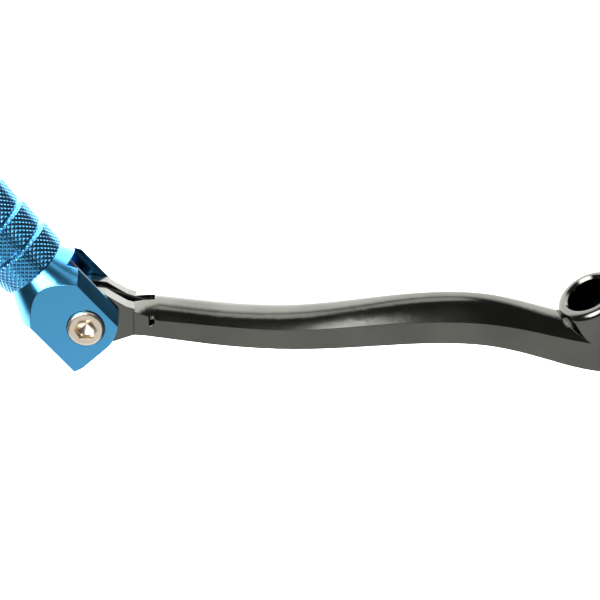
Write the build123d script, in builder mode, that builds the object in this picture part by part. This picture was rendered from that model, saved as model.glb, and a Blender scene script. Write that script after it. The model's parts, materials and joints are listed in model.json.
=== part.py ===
"""Folding-tip motorcycle gear shift lever.

The origin is the centre of the splined clamp bore. +Z runs along the bore, outward from the engine,
and +X points from the bore towards the toe end. A forged arm climbs outward from the clamp to a
tongue, where a machined toe peg folds about a pivot bolt against a torsion spring.

Most of the lever is drawn in the lever plane, whose local x runs along the arm towards the toe,
y runs across it to the outboard side, and z is the direction of the pivot axis.
"""

import os
from math import acos, atan, cos, pi, radians, sin, sqrt

from build123d import *

# ---- driving dimensions, millimetres and degrees ----

ARM_RISE = 26.15            # the arm's climb from the X axis towards Z
ARM_LEAN = 14.5             # how far the pivot axis leans out of the XY plane

ARM_FORWARD = 2.2           # the arm's middle from the bore's centre, along the pivot axis
ARM_OUTBOARD = 0.95         # and across the arm, to the outboard side
ARM_THICKNESS = 12.0        # along the pivot axis
ARM_REACH = 200.0           # longer than the arm
CROWN_SLOPE = 58.0          # steepest angle at which the crowned side leaves the flats
CROWN_SHAPE = 0.4           # tangent of that angle for each millimetre of a low crown

PIVOT_X = 130.0             # pivot axis in the lever plane
PIVOT_Y = 1.65
TONGUE_THICKNESS = 11.4
TONGUE_RADIUS = 7.7

SPRING_SLOT_NEAR = -1.5     # z range of the spring slot in the tongue
SPRING_SLOT_FAR = 2.3
SPRING_SLOT_END = 113.1
SPRING_SLOT_RADIUS = 6.9
SPRING_SLOT_FLOOR = 0.9     # height of the slot's floor at its end
SPRING_SLOT_BEND = (122.8, 2.9)
SPRING_SLOT_BEYOND = 12.0   # cut past the arm on its outboard side
NOSE_CUT_BACK = 4.0         # the slot's cut through the round nose, from the pivot
NOSE_CUT_FRONT = 9.0
NOSE_CUT_INBOARD = -9.0
ANCHOR_HOLE_X = 114.45      # flat side of the D-shaped hole for the spring's leg
ANCHOR_HOLE_RADIUS = 1.4
ANCHOR_X = 113.8            # where the leg turns into its hole, level with the pivot
ANCHOR_DEPTH = 1.8          # from the arm's face down to the leg's tip

BOSS_LENGTH = 17.6
BOSS_INNER_RADIUS = 10.2    # at the face towards the engine
BOSS_OUTER_RADIUS = 8.8
BOSS_ROUNDING = 2.1         # round edge of the outer face
BOSS_EDGE = 0.6
SPLINE_RADIUS = 5.9         # over the lands between the grooves
SPLINE_DEPTH = 0.45
SPLINE_TEETH = 36
SPLINE_GROOVE = 0.55        # share of each tooth's pitch that the groove takes
SPLINE_OVERLAP = 0.1        # of each groove's outline with the round bore
BORE_CHAMFER = 0.5
SLIT_WIDTH = 2.2
LUG_REACH = 16.5            # how far the pinch lugs stand out from the bore axis
LUG_DEPTH = 13.0            # lug size along the bore
LUG_WIDTH = 17.0            # lug size across the slit
LUG_CORNER = 4.5
PINCH_OFFSET = 10.4         # pinch bolt axis from the bore axis
PINCH_RADIUS = 3.0
PINCH_HOLE_RADIUS = 3.2
PINCH_LENGTH = 18.0
PINCH_HEAD_RADIUS = 5.0
PINCH_HEAD_HEIGHT = 6.0
PINCH_HEX_DEPTH = 3.0
PINCH_WASHER_RADIUS = 5.9
PINCH_WASHER_THICKNESS = 1.2
SPOT_FACE_RADIUS = 6.4

FORK_THICKNESS = 20.6
FORK_GAP = 12.4
FORK_OFFSET = 2.1           # fork's middle from the pivot axis
FLAT_HALF_WIDTH = 8.3
FORK_HALF_WIDTH = 11.4
FORK_END = 7.55             # from the pivot to the fork's open end
FORK_POCKET = 8.0           # pocket for the tongue's round nose
FORK_POCKET_WIDE = 8.9      # the wider half of the pocket, on the folding side
POCKET_STEP = -0.8
FORK_SLOT_TOP = 14.4        # how far the folding slot reaches towards the grip
FORK_SLOT_SIDE = 1.5        # where that slot starts, across the peg
FORK_CORNER_INNER = 6.0     # rounding of the block's corners at its open end
FORK_CORNER_OUTER = 9.4
PEG_ANGLE = 48.5            # peg axis from the arm's local x
PEG_OFFSET = 1.8            # peg axis from the pivot axis

NECK_DISTANCE = 17.9        # from the pivot to the start of the grip
NECK_RADIUS = 8.6
NECK_CONE = 0.54            # radius gained per millimetre towards the fork
GRIP_BANDS = 4
BAND_LENGTH = 7.8
BAND_START_RADIUS = 9.2
BAND_TOP_RADIUS = 9.75
BAND_LEAD = 0.3             # short step up from a groove to the next band
BAND_BEVEL = 1.1
GROOVE_RADIUS = 8.75

BOLT_HEAD_RADIUS = 4.6
BOLT_HEAD_HEIGHT = 3.8
BOLT_PROUD = 1.0
BOLT_RADIUS = 3.0
BOLT_HEX = 5.0
BOLT_HEX_DEPTH = 2.6
COUNTERBORE_RADIUS = 4.8
BOLT_HOLE_RADIUS = 3.1
BOLT_EDGE = 0.7             # rounding of a head's rim
DRILL_POINT = 1.2           # cone left by the drill under the hex socket
DRILL_TAPER = 60
THREAD_CLEARANCE = 0.02     # a male thread is a plain shank, this much inside its hole
BUSH_RADIUS = 4.25
RUNNING_FIT = 0.05
THRUST_RADIUS = 6.6
THRUST_THICKNESS = 0.4

WIRE_RADIUS = 0.5
WIRE_CLEARANCE = 0.06       # between the wire and the slot's near side
BEND_RADIUS = 0.55          # the wire swells a little where it bends
COIL_RADIUS = 5.2
COIL_PITCH = 1.05
COIL_WINDS = 2
PEG_LEG_HOLE = 2.4          # depth of the hole that the spring's other leg sits in
PEG_LEG_FIT = 0.1           # and its clearance around the leg
PEG_LEG_SHORT = 0.3         # what the leg leaves free at the hole's bottom

os.makedirs("parts", exist_ok=True)

# ---- planes ----

rise = radians(ARM_RISE)
lean = radians(ARM_LEAN)
toe_direction = Vector(cos(rise), 0, sin(rise))
pivot_direction = Vector(-sin(lean) * sin(rise), cos(lean), sin(lean) * cos(rise))
across_direction = toe_direction.cross(pivot_direction)
lever_origin = pivot_direction * ARM_FORWARD + across_direction * ARM_OUTBOARD
lever = Plane(origin=lever_origin, x_dir=toe_direction, z_dir=-pivot_direction)
pivot_point = lever.from_local_coords(Vector(PIVOT_X, PIVOT_Y, 0))
pivot = Plane(origin=pivot_point, x_dir=toe_direction, z_dir=-pivot_direction)
peg_direction = toe_direction * cos(radians(PEG_ANGLE)) + lever.y_dir * sin(radians(PEG_ANGLE))
peg = Plane(origin=pivot_point, x_dir=peg_direction, z_dir=-pivot_direction)


def cross_section_plane(x):
    """A plane across the arm at local x, with its own x along the lever's z and y along its y."""
    origin = lever.from_local_coords(Vector(x, 0, 0))
    return Plane(origin=origin, x_dir=lever.z_dir, z_dir=-toe_direction)


def fork_section_plane(distance):
    """A plane across the peg, centred on the fork's middle at a distance from the pivot."""
    origin = peg.from_local_coords(Vector(distance, -FORK_OFFSET, 0))
    return Plane(origin=origin, x_dir=-peg.z_dir, z_dir=peg.x_dir)


# ---- spring coil: where it starts around the pivot, how far it winds and its place along the pivot ----

anchor_distance = PIVOT_X - ANCHOR_X
anchor_leg = sqrt(anchor_distance ** 2 - COIL_RADIUS ** 2)
coil_from = pi - acos(COIL_RADIUS / anchor_distance)
coil_to = radians(PEG_ANGLE + 90) - COIL_WINDS * 2 * pi
coil_turns = (coil_from - coil_to) / (2 * pi)
coil_climb = COIL_PITCH / (2 * pi * COIL_RADIUS)
anchor_height = SPRING_SLOT_NEAR + WIRE_CLEARANCE + WIRE_RADIUS
coil_start = anchor_height + coil_climb * anchor_leg
coil_end = coil_start + COIL_PITCH * coil_turns


# ---- arm: one forging with the clamp boss and the tongue ----

# local x, inboard edge, height of the flat, rise of the crowned outboard side; the first only leads
# the loft straight through the second, where it is cut off
ARM_STATIONS = [
    (118.3, -2.2, 4.65, 4.2),
    (112.0, -2.9, 4.65, 4.05),
    (100.0, -4.6, 5.15, 3.8),
    (76.5, -6.15, 5.3, 4.25),
    (58.0, -5.3, 5.8, 5.0),
    (41.0, -4.5, 5.8, 5.7),
    (28.0, -5.4, 6.0, 5.6),
    (16.0, -8.4, 6.7, 4.9),
    (5.0, -11.6, 7.4, 4.6),
    (-2.0, -12.6, 7.6, 4.0),
]

# where the crown runs out towards the tongue
TONGUE_STATIONS = [
    (118.3, -2.2, 6.4, 0.9),
    (115.4, -2.4, 5.6, 2.4),
    ARM_STATIONS[1],
]

TONGUE_INBOARD = [(118.0, -2.2), (122.3, -3.7), (126.3, -5.1)]
TONGUE_OUTBOARD = [(125.3, 8.75), (122.2, 6.75), (120.1, 5.5), (118.0, 4.8)]

# the spring slot beside its round pocket: along its floor, round the nose and back outboard
SPRING_SLOT_OUTLINE = [
    (SPRING_SLOT_END, SPRING_SLOT_FLOOR),
    SPRING_SLOT_BEND,
    (PIVOT_X - NOSE_CUT_BACK, NOSE_CUT_INBOARD),
    (PIVOT_X + NOSE_CUT_FRONT, NOSE_CUT_INBOARD),
    (PIVOT_X + NOSE_CUT_FRONT, SPRING_SLOT_BEYOND),
    (SPRING_SLOT_END, SPRING_SLOT_BEYOND),
]

groove_half = pi * SPLINE_RADIUS / SPLINE_TEETH * SPLINE_GROOVE


def arm_section(x, inboard, flat, crown):
    """The arm's section at local x: two flats joined by a square inboard side and a crowned one."""
    half = ARM_THICKNESS / 2
    outboard = inboard + flat
    slope = min(radians(CROWN_SLOPE), atan(CROWN_SHAPE * crown))
    leave = (cos(slope), sin(slope))
    arrive = (leave[0], -leave[1])
    with BuildSketch(cross_section_plane(x)) as section:
        with BuildLine():
            Line((-half, outboard), (-half, inboard))
            Line((-half, inboard), (half, inboard))
            Line((half, inboard), (half, outboard))
            Spline((-half, outboard), (0, outboard + crown), (half, outboard), tangents=(leave, arrive))
        make_face()
    return section.sketch


def on_nose(angle):
    """The point of the tongue's nose at an angle around the pivot, in the lever plane."""
    return (PIVOT_X + TONGUE_RADIUS * cos(radians(angle)), PIVOT_Y + TONGUE_RADIUS * sin(radians(angle)))


with BuildPart() as arm:
    for x, inboard, flat, crown in ARM_STATIONS:
        add(arm_section(x, inboard, flat, crown))
    loft()
    split(bisect_by=cross_section_plane(ARM_STATIONS[1][0]), keep=Keep.TOP)
    for x, inboard, flat, crown in TONGUE_STATIONS:
        add(arm_section(x, inboard, flat, crown))
    loft(ruled=True)

    with BuildSketch(lever.offset(-TONGUE_THICKNESS / 2)):
        with BuildLine():
            Polyline(*TONGUE_INBOARD, on_nose(-110))
            ThreePointArc(on_nose(-110), on_nose(0), on_nose(95))
            Polyline(on_nose(95), *TONGUE_OUTBOARD)
            Line(TONGUE_OUTBOARD[-1], TONGUE_INBOARD[0])
        make_face()
    extrude(amount=TONGUE_THICKNESS)

    # the forging's end is round about the bore
    with BuildSketch(Plane.XY.offset(-ARM_REACH)):
        Circle(BOSS_INNER_RADIUS)
        Rectangle(ARM_REACH, ARM_REACH, align=(Align.MIN, Align.CENTER))
    extrude(amount=2 * ARM_REACH, mode=Mode.INTERSECT)

    with BuildSketch(Plane.XZ):
        with BuildLine():
            Polyline(
                (0, -BOSS_LENGTH / 2),
                (BOSS_INNER_RADIUS, -BOSS_LENGTH / 2),
                (BOSS_OUTER_RADIUS, BOSS_LENGTH / 2),
                (0, BOSS_LENGTH / 2),
                close=True,
            )
        make_face()
        fillet(vertices().sort_by(Axis.X)[-1], BOSS_EDGE)
        fillet(vertices().group_by(Axis.Y)[-1].sort_by(Axis.X)[-1], BOSS_ROUNDING)
    revolve(axis=Axis.Z)

    # the forging ends level with the boss's inner face
    split(bisect_by=Plane.XY.offset(-BOSS_LENGTH / 2), keep=Keep.TOP)

    # pinch lugs, on the side away from the toe
    with BuildSketch(Plane.XZ.offset(-LUG_WIDTH / 2)):
        with Locations((-LUG_REACH / 2, 0)):
            RectangleRounded(LUG_REACH, LUG_DEPTH, LUG_CORNER)
    extrude(amount=LUG_WIDTH)

    # splined bore, with a lead-in chamfer at both ends
    with BuildSketch(Plane.XY.offset(-BOSS_LENGTH / 2)):
        Circle(SPLINE_RADIUS)
        with PolarLocations(SPLINE_RADIUS, SPLINE_TEETH):
            with BuildLine():
                Polyline(
                    (-SPLINE_OVERLAP, -groove_half),
                    (0, -groove_half),
                    (SPLINE_DEPTH, 0),
                    (0, groove_half),
                    (-SPLINE_OVERLAP, groove_half),
                    close=True,
                )
            make_face()
    extrude(amount=BOSS_LENGTH, mode=Mode.SUBTRACT)
    for end, outward in ((BOSS_LENGTH / 2, 1), (-BOSS_LENGTH / 2, -1)):
        with BuildSketch(Plane.XY.offset(end)):
            Circle(SPLINE_RADIUS + SPLINE_DEPTH + BORE_CHAMFER / 2)
        extrude(amount=-outward * 2 * BORE_CHAMFER, taper=45, mode=Mode.SUBTRACT)

    # clamp slit and pinch bolt hole
    with BuildSketch(Plane.XY.offset(-BOSS_LENGTH)):
        with Locations((-LUG_REACH / 2 - SPLINE_RADIUS / 2, 0)):
            Rectangle(LUG_REACH, SLIT_WIDTH)
    extrude(amount=2 * BOSS_LENGTH, mode=Mode.SUBTRACT)
    with BuildSketch(Plane.XZ):
        with Locations((-PINCH_OFFSET, 0)):
            Circle(PINCH_HOLE_RADIUS)
    extrude(amount=-LUG_WIDTH, mode=Mode.SUBTRACT)
    with BuildSketch(Plane.XZ):
        with Locations((-PINCH_OFFSET, 0)):
            Circle(PINCH_RADIUS + THREAD_CLEARANCE)
    extrude(amount=LUG_WIDTH, mode=Mode.SUBTRACT)
    with BuildSketch(Plane.XZ.offset(-LUG_WIDTH / 2)):
        with Locations((-PINCH_OFFSET, 0)):
            Circle(SPOT_FACE_RADIUS)
    extrude(amount=-LUG_WIDTH, mode=Mode.SUBTRACT)

    # bore for the bush, through both walls of the tongue
    with BuildSketch(pivot.offset(-TONGUE_THICKNESS)):
        Circle(BUSH_RADIUS + RUNNING_FIT)
    extrude(amount=2 * TONGUE_THICKNESS, mode=Mode.SUBTRACT)

    # slot for the spring, open at the nose and along the outboard side
    with BuildSketch(lever.offset(SPRING_SLOT_NEAR)):
        with Locations((PIVOT_X, PIVOT_Y)):
            Circle(SPRING_SLOT_RADIUS)
        with BuildLine():
            Polyline(*SPRING_SLOT_OUTLINE, close=True)
        make_face()
    extrude(amount=SPRING_SLOT_FAR - SPRING_SLOT_NEAR, mode=Mode.SUBTRACT)
    with BuildSketch(lever):
        with Locations((ANCHOR_HOLE_X, PIVOT_Y)):
            Circle(ANCHOR_HOLE_RADIUS)
            Rectangle(ANCHOR_HOLE_RADIUS, 2 * ANCHOR_HOLE_RADIUS, align=(Align.MAX, Align.CENTER),
                      mode=Mode.INTERSECT)
    extrude(amount=-ARM_THICKNESS, mode=Mode.SUBTRACT)

arm.part.label = "arm"
export_step(arm.part, "parts/arm.step")


# ---- toe peg: fork and grip, machined in one piece ----

grip_length = GRIP_BANDS * BAND_LENGTH
block_length = NECK_DISTANCE + FORK_END
reach = FORK_END + FORK_POCKET
near_face = -FORK_THICKNESS / 2
seat = near_face - BOLT_PROUD + BOLT_HEAD_HEIGHT
peg_axis = Axis(peg.from_local_coords(Vector(0, -PEG_OFFSET, 0)), peg_direction)
profile_plane = Plane(origin=peg.from_local_coords(Vector(0, -PEG_OFFSET, 0)), x_dir=peg_direction,
                      z_dir=peg.z_dir)

# the spring's leg runs straight on from the coil into its hole
peg_leg = FORK_SLOT_TOP + PEG_LEG_HOLE - PEG_LEG_SHORT
leg_start = peg.from_local_coords(Vector(0, COIL_RADIUS, coil_end))
leg_way = peg.from_local_coords(Vector(1, COIL_RADIUS, coil_end + coil_climb)) - leg_start
leg_hole = Plane(origin=leg_start, x_dir=peg.y_dir, z_dir=leg_way)


def grip_outline():
    """The grip's half profile as points: bands that swell towards the free end, with V grooves."""
    points = [(NECK_DISTANCE, 0), (NECK_DISTANCE, NECK_RADIUS)]
    for band in range(GRIP_BANDS):
        start = NECK_DISTANCE + band * BAND_LENGTH
        end = start + BAND_LENGTH
        points.append((start + BAND_LEAD, BAND_START_RADIUS))
        points.append((end - BAND_BEVEL, BAND_TOP_RADIUS))
        points.append((end, GROOVE_RADIUS))
    points.append((NECK_DISTANCE + grip_length, 0))
    return points


with BuildPart() as toe_peg:
    # fork block: flats square to the pivot, crowned sides
    with BuildSketch(fork_section_plane(-FORK_END)):
        half = FORK_THICKNESS / 2
        with BuildLine():
            Line((-half, -FLAT_HALF_WIDTH), (-half, FLAT_HALF_WIDTH))
            ThreePointArc((-half, FLAT_HALF_WIDTH), (0, FORK_HALF_WIDTH), (half, FLAT_HALF_WIDTH))
            Line((half, FLAT_HALF_WIDTH), (half, -FLAT_HALF_WIDTH))
            ThreePointArc((half, -FLAT_HALF_WIDTH), (0, -FORK_HALF_WIDTH), (-half, -FLAT_HALF_WIDTH))
        make_face()
    extrude(amount=block_length)

    # rounded corners at the fork's open end
    with BuildSketch(profile_plane.offset(-FORK_THICKNESS)):
        with Locations(((NECK_DISTANCE - FORK_END) / 2, PEG_OFFSET - FORK_OFFSET)):
            Rectangle(block_length, 2 * FORK_HALF_WIDTH)
        fillet(vertices().sort_by(Axis.X)[:2].sort_by(Axis.Y)[0], FORK_CORNER_INNER)
        fillet(vertices().sort_by(Axis.X)[:2].sort_by(Axis.Y)[-1], FORK_CORNER_OUTER)
    extrude(amount=2 * FORK_THICKNESS, mode=Mode.INTERSECT)

    # cone that narrows the block to the neck
    with BuildSketch(profile_plane):
        with BuildLine():
            Polyline(
                (-FORK_END, 0),
                (-FORK_END, NECK_RADIUS + NECK_CONE * block_length),
                (NECK_DISTANCE, NECK_RADIUS),
                (NECK_DISTANCE, 0),
                close=True,
            )
        make_face()
    revolve(axis=peg_axis, mode=Mode.INTERSECT)

    with BuildSketch(profile_plane):
        with BuildLine():
            Polyline(*grip_outline(), close=True)
        make_face()
    revolve(axis=peg_axis)

    # gap between the ears: a pocket for the tongue, open at the end and on the folding side
    with BuildSketch(peg.offset(-FORK_GAP / 2)):
        with Locations((0, POCKET_STEP + FORK_POCKET_WIDE)):
            Rectangle(2 * FORK_POCKET_WIDE, 2 * FORK_POCKET_WIDE)
        Circle(FORK_POCKET_WIDE, mode=Mode.INTERSECT)
        Circle(FORK_POCKET)
        with Locations((FORK_SLOT_TOP - reach, FORK_SLOT_SIDE)):
            Rectangle(reach, reach, align=(Align.MIN, Align.MIN))
        with Locations((-reach, -FORK_POCKET / 3)):
            Rectangle(reach, reach, align=(Align.MIN, Align.MIN))
    extrude(amount=FORK_GAP, mode=Mode.SUBTRACT)

    # pivot bolt: counterbore and clearance hole in the near ear, tapped hole in the far one
    with BuildSketch(pivot.offset(near_face)):
        Circle(COUNTERBORE_RADIUS)
    extrude(amount=seat - near_face, mode=Mode.SUBTRACT)
    with BuildSketch(pivot.offset(near_face)):
        Circle(BOLT_HOLE_RADIUS)
    extrude(amount=FORK_THICKNESS / 2, mode=Mode.SUBTRACT)
    with BuildSketch(pivot):
        Circle(BOLT_RADIUS + THREAD_CLEARANCE)
    extrude(amount=FORK_THICKNESS, mode=Mode.SUBTRACT)

    # hole for the spring's leg
    with BuildSketch(leg_hole):
        Circle(WIRE_RADIUS + PEG_LEG_FIT)
    extrude(amount=peg_leg + PEG_LEG_SHORT, mode=Mode.SUBTRACT)

toe_peg.part.label = "toe_peg"
export_step(toe_peg.part, "parts/toe_peg.step")


# ---- pivot hardware ----

with BuildPart() as pivot_bolt:
    with BuildSketch(pivot.offset(near_face - BOLT_PROUD)):
        Circle(BOLT_HEAD_RADIUS)
    extrude(amount=BOLT_HEAD_HEIGHT)
    rim = edges().group_by(Axis(pivot_point, -pivot.z_dir))[-1]
    fillet(rim, BOLT_EDGE)
    with BuildSketch(pivot.offset(seat)):
        Circle(BOLT_RADIUS)
    extrude(amount=FORK_THICKNESS / 2 - seat)
    with BuildSketch(pivot.offset(near_face - BOLT_PROUD)):
        RegularPolygon(BOLT_HEX / 2, 6, major_radius=False)
    extrude(amount=BOLT_HEX_DEPTH, mode=Mode.SUBTRACT)
    drill_point = Plane(origin=pivot.offset(near_face - BOLT_PROUD + BOLT_HEX_DEPTH).origin,
                        x_dir=pivot.x_dir, z_dir=pivot.z_dir)
    with BuildSketch(drill_point):
        Circle(BOLT_HEX / 2)
    extrude(amount=DRILL_POINT, taper=DRILL_TAPER, mode=Mode.SUBTRACT)

pivot_bolt.part.label = "pivot_bolt"
export_step(pivot_bolt.part, "parts/pivot_bolt.step")

with BuildPart() as pivot_bush:
    with BuildSketch(pivot.offset(-FORK_GAP / 2)):
        Circle(BUSH_RADIUS)
        Circle(BOLT_RADIUS + RUNNING_FIT, mode=Mode.SUBTRACT)
    extrude(amount=FORK_GAP)

pivot_bush.part.label = "pivot_bush"
export_step(pivot_bush.part, "parts/pivot_bush.step")

for side, start in (("near", -FORK_GAP / 2), ("far", FORK_GAP / 2 - THRUST_THICKNESS)):
    with BuildPart() as thrust_washer:
        with BuildSketch(pivot.offset(start)):
            Circle(THRUST_RADIUS)
            Circle(BUSH_RADIUS + RUNNING_FIT, mode=Mode.SUBTRACT)
        extrude(amount=THRUST_THICKNESS)

    thrust_washer.part.label = f"thrust_washer_{side}"
    export_step(thrust_washer.part, f"parts/thrust_washer_{side}.step")


# ---- torsion spring: a coil on the bush, one leg hooked into the arm and one into the peg ----

coil_centre = pivot.from_local_coords(Vector(0, 0, coil_start))
coil_x = pivot.x_dir * cos(coil_from) + pivot.y_dir * sin(coil_from)
coil_plane = Plane(origin=coil_centre, x_dir=coil_x, z_dir=pivot.z_dir)
hook_length = anchor_height + ARM_THICKNESS / 2 - ANCHOR_DEPTH

# drawn on its own axis; it winds clockwise about the pivot, so its helix is left-handed
with BuildPart() as wire:
    with BuildLine() as path:
        coil = Helix(COIL_PITCH, COIL_PITCH * coil_turns, COIL_RADIUS, lefthand=True)
        leg_in = Line(coil @ 0 - (coil % 0) * anchor_leg, coil @ 0)
        Line(coil @ 1, coil @ 1 + (coil % 1) * peg_leg)
    with BuildSketch(Plane(origin=leg_in @ 0, z_dir=leg_in % 0)):
        Circle(WIRE_RADIUS)
    sweep(path=path.wire(), is_frenet=True)
    with BuildSketch(Plane(origin=leg_in @ 0, z_dir=(0, 0, -1))):
        Circle(WIRE_RADIUS)
    extrude(amount=hook_length)
    with Locations(leg_in @ 0):
        Sphere(BEND_RADIUS)

with BuildPart() as torsion_spring:
    add(coil_plane.location * wire.part)

torsion_spring.part.label = "torsion_spring"
export_step(torsion_spring.part, "parts/torsion_spring.step")


# ---- pinch bolt that closes the clamp ----

head_seat = LUG_WIDTH / 2 + PINCH_WASHER_THICKNESS

with BuildPart() as pinch_washer:
    with BuildSketch(Plane.XZ.offset(-LUG_WIDTH / 2)):
        with Locations((-PINCH_OFFSET, 0)):
            Circle(PINCH_WASHER_RADIUS)
            Circle(PINCH_HOLE_RADIUS, mode=Mode.SUBTRACT)
    extrude(amount=-PINCH_WASHER_THICKNESS)

pinch_washer.part.label = "pinch_washer"
export_step(pinch_washer.part, "parts/pinch_washer.step")

with BuildPart() as pinch_bolt:
    with BuildSketch(Plane.XZ.offset(-head_seat)):
        with Locations((-PINCH_OFFSET, 0)):
            Circle(PINCH_HEAD_RADIUS)
    extrude(amount=-PINCH_HEAD_HEIGHT)
    fillet(edges().group_by(Axis.Y)[-1], BOLT_EDGE)
    with BuildSketch(Plane.XZ.offset(-head_seat)):
        with Locations((-PINCH_OFFSET, 0)):
            Circle(PINCH_RADIUS)
    extrude(amount=PINCH_LENGTH)
    with BuildSketch(Plane.XZ.offset(-head_seat - PINCH_HEAD_HEIGHT)):
        with Locations((-PINCH_OFFSET, 0)):
            RegularPolygon(BOLT_HEX / 2, 6, major_radius=False)
    extrude(amount=PINCH_HEX_DEPTH, mode=Mode.SUBTRACT)

pinch_bolt.part.label = "pinch_bolt"
export_step(pinch_bolt.part, "parts/pinch_bolt.step")
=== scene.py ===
"""Looks for the folding-tip gear shift lever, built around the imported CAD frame. Metres throughout."""

import json
import math

import bmesh
import bpy
from mathutils import Matrix, Vector


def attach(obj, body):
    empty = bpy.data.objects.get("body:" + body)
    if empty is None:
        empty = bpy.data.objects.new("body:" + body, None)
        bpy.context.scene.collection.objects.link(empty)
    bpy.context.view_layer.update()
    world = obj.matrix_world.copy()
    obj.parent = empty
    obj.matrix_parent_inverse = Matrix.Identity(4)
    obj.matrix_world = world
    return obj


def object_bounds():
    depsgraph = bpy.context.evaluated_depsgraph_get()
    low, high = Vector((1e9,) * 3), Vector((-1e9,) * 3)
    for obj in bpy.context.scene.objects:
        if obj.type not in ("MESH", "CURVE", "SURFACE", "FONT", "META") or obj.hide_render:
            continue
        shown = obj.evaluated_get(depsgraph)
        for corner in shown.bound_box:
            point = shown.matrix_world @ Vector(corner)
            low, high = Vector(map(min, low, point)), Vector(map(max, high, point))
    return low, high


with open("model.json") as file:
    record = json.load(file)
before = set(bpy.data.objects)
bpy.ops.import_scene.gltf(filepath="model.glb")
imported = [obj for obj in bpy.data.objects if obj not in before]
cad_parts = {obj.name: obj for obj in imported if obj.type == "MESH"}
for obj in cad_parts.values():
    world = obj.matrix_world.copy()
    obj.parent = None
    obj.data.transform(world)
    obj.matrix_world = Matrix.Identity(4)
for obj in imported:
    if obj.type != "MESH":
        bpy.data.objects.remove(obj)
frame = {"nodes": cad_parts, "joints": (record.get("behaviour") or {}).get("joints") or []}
cad_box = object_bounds()

MM = 0.001

# ---- the lever's own directions, from the frame ----

fold_joint = next(joint for joint in frame["joints"] if joint["name"] == "tip_fold")
pivot_axis = Vector(fold_joint["axis"]).normalized()       # away from the pivot bolt's head
pivot_point = Vector(fold_joint["pos_m"])
toward_head = -pivot_axis
toe_way = Vector((0, 1, 0)).cross(toward_head).normalized()
outboard = pivot_axis.cross(toe_way)

PIVOT_ALONG_ARM = 130.0 * MM
PIVOT_ACROSS_ARM = 1.65 * MM
PEG_ANGLE = math.radians(48.5)
PEG_OFFSET = 1.8 * MM

peg_way = toe_way * math.cos(PEG_ANGLE) + outboard * math.sin(PEG_ANGLE)
peg_side = outboard * math.cos(PEG_ANGLE) - toe_way * math.sin(PEG_ANGLE)


def in_lever(x, y, z):
    """A point given along the arm from the clamp, across it and along the pivot axis, in metres."""
    along = toe_way * (x - PIVOT_ALONG_ARM)
    return pivot_point + along + outboard * (y - PIVOT_ACROSS_ARM) + pivot_axis * z


def on_grip(distance, radius, angle):
    """A point round the grip's axis, at a distance from the pivot."""
    around = toward_head * math.cos(angle) + peg_side * math.sin(angle)
    return pivot_point + peg_way * distance - peg_side * PEG_OFFSET + around * radius


# ---- camera: square to the arm and from above its outboard side ----

CAMERA_RAISE = math.radians(23.5)
CAMERA_DISTANCE = 0.7
CAMERA_LENS = 168
SENSOR_WIDTH = 36
AIM = in_lever(76.54 * MM, 7.41 * MM, -6.0 * MM)


def make_camera():
    """The photo's view of the lever: the toe end to the left, the outboard side up."""
    look_back = toward_head * math.cos(CAMERA_RAISE) + outboard * math.sin(CAMERA_RAISE)
    right = -toe_way
    up = look_back.cross(right)
    camera = bpy.data.objects.new("camera", bpy.data.cameras.new("camera"))
    camera.data.lens = CAMERA_LENS
    camera.data.sensor_width = SENSOR_WIDTH
    turn = Matrix((right, up, look_back)).transposed().to_4x4()
    camera.matrix_world = Matrix.Translation(AIM + look_back * CAMERA_DISTANCE) @ turn
    bpy.context.scene.collection.objects.link(camera)
    bpy.context.scene.camera = camera


# ---- stage: a pale floor, and a studio given by the world's light ----

FLOOR_DROP = 0.16
FLOOR_HALF = 3.0
FLOOR_GREY = (0.88, 0.88, 0.88, 1)
FLOOR_ROUGHNESS = 0.9

KEY_POWER = 75
KEY_SIZE = 1.8
KEY_OVER = 70 * MM                         # the place along the arm that the key light is set from
KEY_OFFSET = Vector((0.1, 0.2, 1.7))

BACKDROP_LEVEL = 3.4
ROOM_LEVEL = 0.08
TABLE_LEVEL = 1.0
SOFTBOX_LEVEL = 11.0
STRIP_LEVEL = 2.0
SEEN_LEVEL = 1.0                           # the plain white that the camera sees

# The edges of the world's areas, each as (where it starts to change, where the change is done),
# for a direction's part along the named way.
BACKDROP_BEHIND = (-0.15, 0.35)
BACKDROP_TOE_WAY = (-0.75, -0.5)
TABLE_HEIGHT = (-0.10, 0.0)
TABLE_TOE_WAY = (-0.6, -0.35)
SOFTBOX_WAY = (toe_way * 0.42 + outboard * 0.52 + toward_head * 0.74).normalized()
SOFTBOX_EDGE = (math.cos(math.radians(27)), math.cos(math.radians(10)))
STRIP_WAY = (outboard * 0.985 + toward_head * 0.17).normalized()
STRIP_EDGE = (math.cos(math.radians(12)), math.cos(math.radians(6)))


def make_floor():
    """A pale floor below the lever, left out of reflections."""
    low = cad_box[0][2] - FLOOR_DROP
    mesh = bpy.data.meshes.new("floor")
    corners = [(x, y, low) for x, y in ((-1, -1), (1, -1), (1, 1), (-1, 1))]
    corners = [(x * FLOOR_HALF, y * FLOOR_HALF, z) for x, y, z in corners]
    mesh.from_pydata(corners, [], [(0, 1, 2, 3)])
    floor = bpy.data.objects.new("floor", mesh)
    bpy.context.scene.collection.objects.link(floor)
    material = bpy.data.materials.new("floor")
    material.use_nodes = True
    shader = material.node_tree.nodes["Principled BSDF"]
    shader.inputs["Base Color"].default_value = FLOOR_GREY
    shader.inputs["Roughness"].default_value = FLOOR_ROUGHNESS
    mesh.materials.append(material)
    floor.visible_glossy = False


def make_key_light():
    """A large soft light overhead, left out of reflections."""
    light = bpy.data.lights.new("overhead_key", "AREA")
    light.shape = "SQUARE"
    light.size = KEY_SIZE
    light.energy = KEY_POWER
    key = bpy.data.objects.new("overhead_key", light)
    key.location = in_lever(KEY_OVER, 0, 0) + KEY_OFFSET
    key.visible_glossy = False
    bpy.context.scene.collection.objects.link(key)


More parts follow.
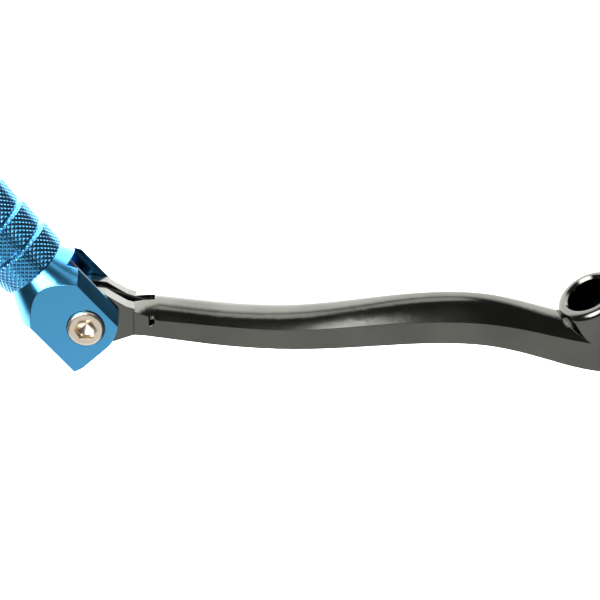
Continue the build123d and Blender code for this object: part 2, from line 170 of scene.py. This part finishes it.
# A Mix node's inputs for numbers and for colours have the same names, so they are picked by index.
NUMBER_A, NUMBER_B, NUMBER_OUT = 2, 3, 0
COLOUR_A, COLOUR_B, COLOUR_OUT = 6, 7, 2


class Nodes:
    """Short helpers for building one node tree."""

    def __init__(self, tree):
        self.tree = tree

    def add(self, kind, inputs=None, **settings):
        """A new node with its settings made and its inputs filled."""
        node = self.tree.nodes.new(kind)
        for name, value in settings.items():
            setattr(node, name, value)
        for name, value in (inputs or {}).items():
            self.put(node.inputs[name], value)
        return node

    def put(self, socket, value):
        """Fill an input with a plain value, or link it to another node's output."""
        if isinstance(value, bpy.types.NodeSocket):
            self.tree.links.new(value, socket)
        elif isinstance(value, Vector):
            socket.default_value = value.to_tuple()
        else:
            socket.default_value = value

    def math(self, operation, a, b=0.0):
        """The result of a Math node."""
        node = self.add("ShaderNodeMath", operation=operation)
        self.put(node.inputs[0], a)
        self.put(node.inputs[1], b)
        return node.outputs[0]

    def dot(self, a, b):
        """The dot product of two vectors."""
        node = self.add("ShaderNodeVectorMath", operation="DOT_PRODUCT")
        self.put(node.inputs[0], a)
        self.put(node.inputs[1], b)
        return node.outputs["Value"]

    def noise(self, place, scale, detail):
        """A noise texture's value at a place."""
        node = self.add("ShaderNodeTexNoise", {"Vector": place, "Scale": scale, "Detail": detail})
        return node.outputs["Fac"]

    def step(self, value, low, high, at_low=0.0, at_high=1.0):
        """value smoothly carried from at_low, below low, to at_high, above high."""
        node = self.add("ShaderNodeMapRange", interpolation_type="SMOOTHSTEP")
        self.put(node.inputs["Value"], value)
        limits = {"From Min": low, "From Max": high, "To Min": at_low, "To Max": at_high}
        for name, number in limits.items():
            self.put(node.inputs[name], number)
        return node.outputs["Result"]


def make_world():
    """A studio seen in reflections, and plain white to the camera.

    A backdrop behind the lever, a pale table low down, a softbox and a strip, in a dim room.
    """
    world = bpy.data.worlds.new("studio")
    bpy.context.scene.world = world
    world.use_nodes = True
    nodes = Nodes(world.node_tree)
    way = nodes.add("ShaderNodeTexCoord").outputs["Generated"]
    behind = nodes.dot(way, pivot_axis)
    toward_toe = nodes.dot(way, toe_way)
    height = nodes.dot(way, (0, 0, 1))
    backdrop = nodes.math("MULTIPLY", nodes.step(behind, *BACKDROP_BEHIND),
                          nodes.step(toward_toe, *BACKDROP_TOE_WAY))
    table = nodes.math("MULTIPLY", nodes.step(height, *TABLE_HEIGHT, 1, 0),
                       nodes.step(toward_toe, *TABLE_TOE_WAY))
    softbox = nodes.step(nodes.dot(way, SOFTBOX_WAY), *SOFTBOX_EDGE)
    strip = nodes.step(nodes.dot(way, STRIP_WAY), *STRIP_EDGE)
    total = nodes.math("MAXIMUM", nodes.math("MULTIPLY", backdrop, BACKDROP_LEVEL), ROOM_LEVEL)
    total = nodes.math("MAXIMUM", total, nodes.math("MULTIPLY", strip, STRIP_LEVEL))
    total = nodes.math("MAXIMUM", total, nodes.math("MULTIPLY", table, TABLE_LEVEL))
    total = nodes.math("MAXIMUM", total, nodes.math("MULTIPLY", softbox, SOFTBOX_LEVEL))
    seen = nodes.add("ShaderNodeLightPath").outputs["Is Camera Ray"]
    mix = nodes.add("ShaderNodeMix", {"Factor": seen})
    nodes.put(mix.inputs[NUMBER_A], total)
    nodes.put(mix.inputs[NUMBER_B], SEEN_LEVEL)
    background = world.node_tree.nodes["Background"]
    background.inputs["Color"].default_value = (1, 1, 1, 1)
    nodes.put(background.inputs["Strength"], mix.outputs[NUMBER_OUT])


make_camera()
make_floor()
make_key_light()
make_world()
bpy.context.scene.view_settings.view_transform = "Standard"


# ---- materials ----

CLOUD_SCALE = 60.0
PLASTIC_CLOUD_SCALE = 500.0
MID_NOISE = (0.3, 0.7)                     # the span of a noise's values that counts
FINE_NOISE = (0.35, 0.65)
EDGE_TURN = (0.93, 0.995)                  # cosine between rounded and flat normals: worn, not worn
GRAIN_HEIGHT = 0.2 * MM
COAT_ROUGHNESS = 0.08

# Painted shade in the bore: near-black colour inside the splined bore, bounded by distances from the
# frame's Z axis and heights up it.
BORE_WALL = (6.42 * MM, 6.5 * MM)
BORE_MOUTH = (7.4 * MM, 8.0 * MM)
# painted shade: the near-black colour given to the bore's inside in place of the shade in the hole
BORE_PAINTED_SHADE_COLOUR = (0.004, 0.005, 0.008, 1)


def metal(name, color, worn, roughness, grain=900.0, bump=0.02, coat=0.0, variation=0.12, wear=0.5,
          edge=0.25, painted_bore_shade=False):
    """A metal finish: colour that varies, paler worn edges, uneven gloss and a fine grain, with painted
    shade inside the splined bore when asked for.
    """
    material = bpy.data.materials.new(name)
    material.use_nodes = True
    nodes = Nodes(material.node_tree)
    shader = material.node_tree.nodes["Principled BSDF"]
    place = nodes.add("ShaderNodeTexCoord").outputs["Object"]
    cloud = nodes.noise(place, CLOUD_SCALE, 3.0)
    fine = nodes.noise(place, grain, 2.0)
    tone = nodes.step(cloud, *MID_NOISE, 1 - variation, 1 + variation)
    tinted = nodes.add("ShaderNodeVectorMath", operation="SCALE")
    nodes.put(tinted.inputs[0], color)
    nodes.put(tinted.inputs["Scale"], tone)
    rounded = nodes.add("ShaderNodeBevel", {"Radius": edge * MM}, samples=6).outputs["Normal"]
    flat_way = nodes.add("ShaderNodeNewGeometry").outputs["Normal"]
    at_edge = nodes.step(nodes.dot(rounded, flat_way), *EDGE_TURN, 1, 0)
    worn_here = nodes.math("MULTIPLY", at_edge, nodes.step(fine, *FINE_NOISE))
    mix = nodes.add("ShaderNodeMix", data_type="RGBA")
    nodes.put(mix.inputs["Factor"], nodes.math("MULTIPLY", worn_here, wear))
    nodes.put(mix.inputs[COLOUR_A], tinted.outputs[0])
    nodes.put(mix.inputs[COLOUR_B], (*worn, 1))
    finish = mix.outputs[COLOUR_OUT]
    # painted shade: the bore's inside is coloured near black, standing in for the shade in the hole
    if painted_bore_shade:
        finish = paint_bore_shade(nodes, place, finish)
    nodes.put(shader.inputs["Base Color"], finish)
    gloss = nodes.step(cloud, *MID_NOISE, roughness * 0.85, roughness * 1.2)
    nodes.put(shader.inputs["Roughness"], gloss)
    shader.inputs["Metallic"].default_value = 1.0
    shader.inputs["Coat Weight"].default_value = coat
    shader.inputs["Coat Roughness"].default_value = COAT_ROUGHNESS
    grainy = nodes.add("ShaderNodeBump", {"Height": fine, "Strength": bump, "Distance": GRAIN_HEIGHT,
                                          "Normal": rounded})
    nodes.put(shader.inputs["Normal"], grainy.outputs["Normal"])
    return material


def paint_bore_shade(nodes, place, finish):
    """The finish with painted shade, near black, inside the splined bore, which runs along the frame's
    own Z axis.
    """
    flat_place = nodes.add("ShaderNodeVectorMath", operation="MULTIPLY")
    nodes.put(flat_place.inputs[0], place)
    nodes.put(flat_place.inputs[1], (1, 1, 0))
    from_axis = nodes.add("ShaderNodeVectorMath", operation="LENGTH")
    nodes.put(from_axis.inputs[0], flat_place.outputs[0])
    mix = nodes.add("ShaderNodeMix", data_type="RGBA")
    height = nodes.add("ShaderNodeSeparateXYZ", {"Vector": place}).outputs["Z"]
    # mask of the painted shade: inside the bore wall and below its mouth
    inside = nodes.step(from_axis.outputs["Value"], *BORE_WALL, 1, 0)
    below = nodes.step(height, *BORE_MOUTH, 1, 0)
    nodes.put(mix.inputs["Factor"], nodes.math("MULTIPLY", inside, below))
    nodes.put(mix.inputs[COLOUR_A], finish)
    nodes.put(mix.inputs[COLOUR_B], BORE_PAINTED_SHADE_COLOUR)
    return mix.outputs[COLOUR_OUT]


def plastic(name, color):
    """A dark moulded plastic with uneven colour and gloss."""
    material = bpy.data.materials.new(name)
    material.use_nodes = True
    nodes = Nodes(material.node_tree)
    shader = material.node_tree.nodes["Principled BSDF"]
    place = nodes.add("ShaderNodeTexCoord").outputs["Object"]
    cloud = nodes.noise(place, PLASTIC_CLOUD_SCALE, 3.0)
    tinted = nodes.add("ShaderNodeVectorMath", operation="SCALE")
    nodes.put(tinted.inputs[0], color)
    nodes.put(tinted.inputs["Scale"], nodes.step(cloud, *MID_NOISE, 0.8, 1.2))
    nodes.put(shader.inputs["Base Color"], tinted.outputs[0])
    nodes.put(shader.inputs["Roughness"], nodes.step(cloud, *MID_NOISE, 0.45, 0.6))
    bumpy = nodes.add("ShaderNodeBump", {"Height": cloud, "Strength": 0.1, "Distance": 0.0001})
    nodes.put(shader.inputs["Normal"], bumpy.outputs["Normal"])
    return material


BARE_METAL = (0.75, 0.76, 0.78)
BLUE = (0.07, 0.37, 0.68)
WORN_BLUE = (0.45, 0.68, 0.85)

# the arm's finish has painted shade, near black, inside its splined bore
black_anodised = metal("black_anodised", (0.115, 0.115, 0.104), (0.3, 0.3, 0.29), 0.13, wear=0.25,
                       painted_bore_shade=True)
blue_anodised = metal("blue_anodised", BLUE, WORN_BLUE, 0.2, coat=0.5, wear=0.4, variation=0.05)
stainless = metal("stainless", (0.74, 0.65, 0.53), (0.85, 0.8, 0.7), 0.22)
bush_steel = metal("bush_steel", (0.55, 0.55, 0.56), BARE_METAL, 0.25)
spring_steel = metal("spring_steel", (0.3, 0.3, 0.31), BARE_METAL, 0.35)
zinc_steel = metal("zinc_steel", (0.6, 0.6, 0.58), BARE_METAL, 0.35)
washer_plastic = plastic("washer_plastic", (0.06, 0.06, 0.06))

FINISHES = {
    "arm": black_anodised,
    "toe_peg": blue_anodised,
    "pivot_bolt": stainless,
    "pivot_bush": bush_steel,
    "thrust_washer_near": washer_plastic,
    "thrust_washer_far": washer_plastic,
    "torsion_spring": spring_steel,
    "pinch_bolt": zinc_steel,
    "pinch_washer": zinc_steel,
}

for node, material in FINISHES.items():
    mesh = frame["nodes"][node].data
    mesh.materials.clear()
    mesh.materials.append(material)


# ---- knurl on the grip's bands ----

GRIP_START = 17.9 * MM                     # from the pivot, along the grip
BAND_COUNT = 4
BAND_LENGTH = 7.8 * MM
BAND_BEVEL = 1.1 * MM
BAND_LEAD = 0.3 * MM
BAND_START_RADIUS = 9.2 * MM
BAND_TOP_RADIUS = 9.75 * MM
GROOVE_RADIUS = 8.75 * MM
KNURL_OVER_BEVEL = 0.5 * MM
KNURL_STARTS = 42
KNURL_HEIGHT = 0.28 * MM
KNURL_SINK = 0.06 * MM
KNURL_DEPTH_INSIDE = 0.5 * MM
MERGE_DISTANCE = 2e-6


def clip(polygon, keep):
    """The part of a polygon where keep(point) is at least zero; points are (angle, distance, height)."""
    kept = []
    for a, b in zip(polygon, polygon[1:] + polygon[:1]):
        side_a, side_b = keep(a), keep(b)
        if side_a >= 0:
            kept.append(a)
        if side_a * side_b < 0:
            share = side_a / (side_a - side_b)
            kept.append(tuple(p + (q - p) * share for p, q in zip(a, b)))
    return kept


def knurl_facets(start, end, radius):
    """The pyramids of a diamond knurl between two distances, as polygons of (angle, distance, height)."""
    angle_step = 2 * math.pi / KNURL_STARTS
    pitch = angle_step * radius
    rows = math.ceil((end - start) / pitch) + 1
    facets = []
    for column in range(2 * KNURL_STARTS):
        for row in range(-1, 2 * rows):
            if (column + row) % 2:
                continue
            angle = column * angle_step / 2
            at = start + row * pitch / 2
            peak = (angle, at, 1.0)
            corners = [
                (angle - angle_step / 2, at, 0.0),
                (angle, at - pitch / 2, 0.0),
                (angle + angle_step / 2, at, 0.0),
                (angle, at + pitch / 2, 0.0),
            ]
            for a, b in zip(corners, corners[1:] + corners[:1]):
                facet = clip([peak, a, b], lambda p: p[1] - start)
                facet = clip(facet, lambda p: end - p[1]) if len(facet) > 2 else facet
                if len(facet) > 2:
                    facets.append(facet)
    return facets


def make_knurl(number, material):
    """One band's knurl: a closed ring with real diamonds, seated on the CAD band."""
    start = GRIP_START + (number - 1) * BAND_LENGTH + BAND_LEAD
    top = GRIP_START + number * BAND_LENGTH - BAND_BEVEL
    end = top + KNURL_OVER_BEVEL

    def band_radius(distance):
        if distance > top:
            fall = BAND_TOP_RADIUS - GROOVE_RADIUS
            return BAND_TOP_RADIUS - fall * (distance - top) / BAND_BEVEL
        rise = BAND_TOP_RADIUS - BAND_START_RADIUS
        return BAND_START_RADIUS + rise * (distance - start) / (top - start)

    shape = bmesh.new()
    for facet in knurl_facets(start, end, (BAND_START_RADIUS + BAND_TOP_RADIUS) / 2):
        points = []
        for angle, distance, height in facet:
            radius = band_radius(distance) - KNURL_SINK + height * KNURL_HEIGHT
            points.append(shape.verts.new(on_grip(distance, radius, angle)))
        shape.faces.new(points)
    bmesh.ops.remove_doubles(shape, verts=shape.verts, dist=MERGE_DISTANCE)
    bmesh.ops.dissolve_degenerate(shape, edges=shape.edges, dist=MERGE_DISTANCE)
    rims = [edge for edge in shape.edges if edge.is_boundary]
    grown = bmesh.ops.extrude_edge_only(shape, edges=rims)["geom"]
    inner = [item for item in grown if isinstance(item, bmesh.types.BMVert)]
    origin = on_grip(0, 0, 0)
    for vert in inner:
        distance = (vert.co - origin).dot(peg_way)
        centre = origin + peg_way * distance
        out = (vert.co - centre).normalized()
        vert.co = centre + out * (band_radius(distance) - KNURL_DEPTH_INSIDE)
    loops = [edge for edge in shape.edges if edge.is_boundary]
    bmesh.ops.bridge_loops(shape, edges=loops)
    bmesh.ops.recalc_face_normals(shape, faces=shape.faces)
    mesh = bpy.data.meshes.new(f"grip_knurl_{number}")
    shape.to_mesh(mesh)
    shape.free()
    mesh.materials.append(material)
    ring = bpy.data.objects.new(f"grip_knurl_{number}", mesh)
    bpy.context.scene.collection.objects.link(ring)
    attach(ring, "toe_tip")


knurl_blue = metal("blue_anodised_knurl", BLUE, WORN_BLUE, 0.16, coat=0.5, variation=0.05, wear=0.3,
                   edge=0.05)
for number in range(1, BAND_COUNT + 1):
    make_knurl(number, knurl_blue)
